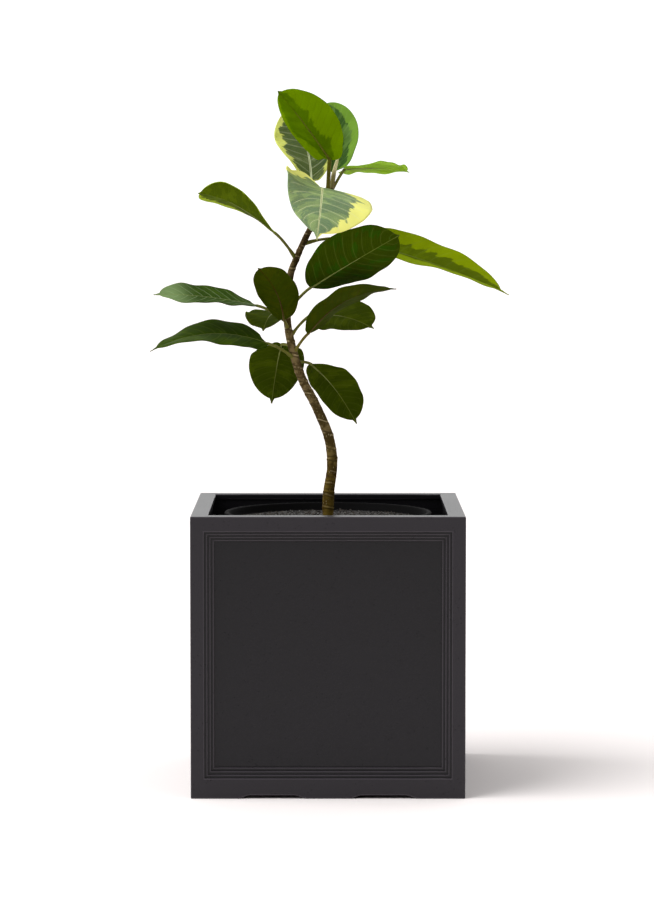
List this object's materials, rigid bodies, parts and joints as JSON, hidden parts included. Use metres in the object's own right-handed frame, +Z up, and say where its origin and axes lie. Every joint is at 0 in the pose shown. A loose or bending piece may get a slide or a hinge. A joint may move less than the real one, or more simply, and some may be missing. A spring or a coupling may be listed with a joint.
{
  "type": "potted rubber plant",
  "caption": "Young variegated rubber plant in a square panelled planter, rooted in potting soil in a round inner pot.",
  "frame": {"origin": "middle of the centre pad under the planter's floor, on the surface that the planter stands on", "axes": "+Z up along the plant, -Y towards the planter's front, the side that the large front leaf droops over"},
  "size_m": [0.4316, 0.32, 0.8265],
  "materials": {
    "planter_cast": "matte",
    "inner_pot_plastic": "satin",
    "soil": "matte",
    "bark": "matte",
    "leaf_lime": "satin",
    "leaf_variegated": "satin",
    "leaf_green": "satin",
    "bud_sheath": "satin"
  },
  "bodies": {
    "root": {"planter": "planter_cast", "nursery_pot": "inner_pot_plastic", "potting_soil": "soil", "stem": "bark", "leaf_top_front": "leaf_lime", "leaf_top_back": "leaf_variegated", "leaf_top_left": "leaf_variegated", "leaf_front": "leaf_variegated", "leaf_top_right": "leaf_variegated", "leaf_upper_left": "leaf_green", "leaf_far_right": "leaf_variegated", "leaf_right": "leaf_green", "leaf_left": "leaf_green", "leaf_front_small": "leaf_green", "leaf_right_small": "leaf_green", "leaf_left_back": "leaf_green", "leaf_back": "leaf_green", "leaf_right_narrow": "leaf_green", "leaf_lower_left": "leaf_green", "leaf_lower_right": "leaf_green", "terminal_bud": "bud_sheath"}
  },
  "joints": []
}
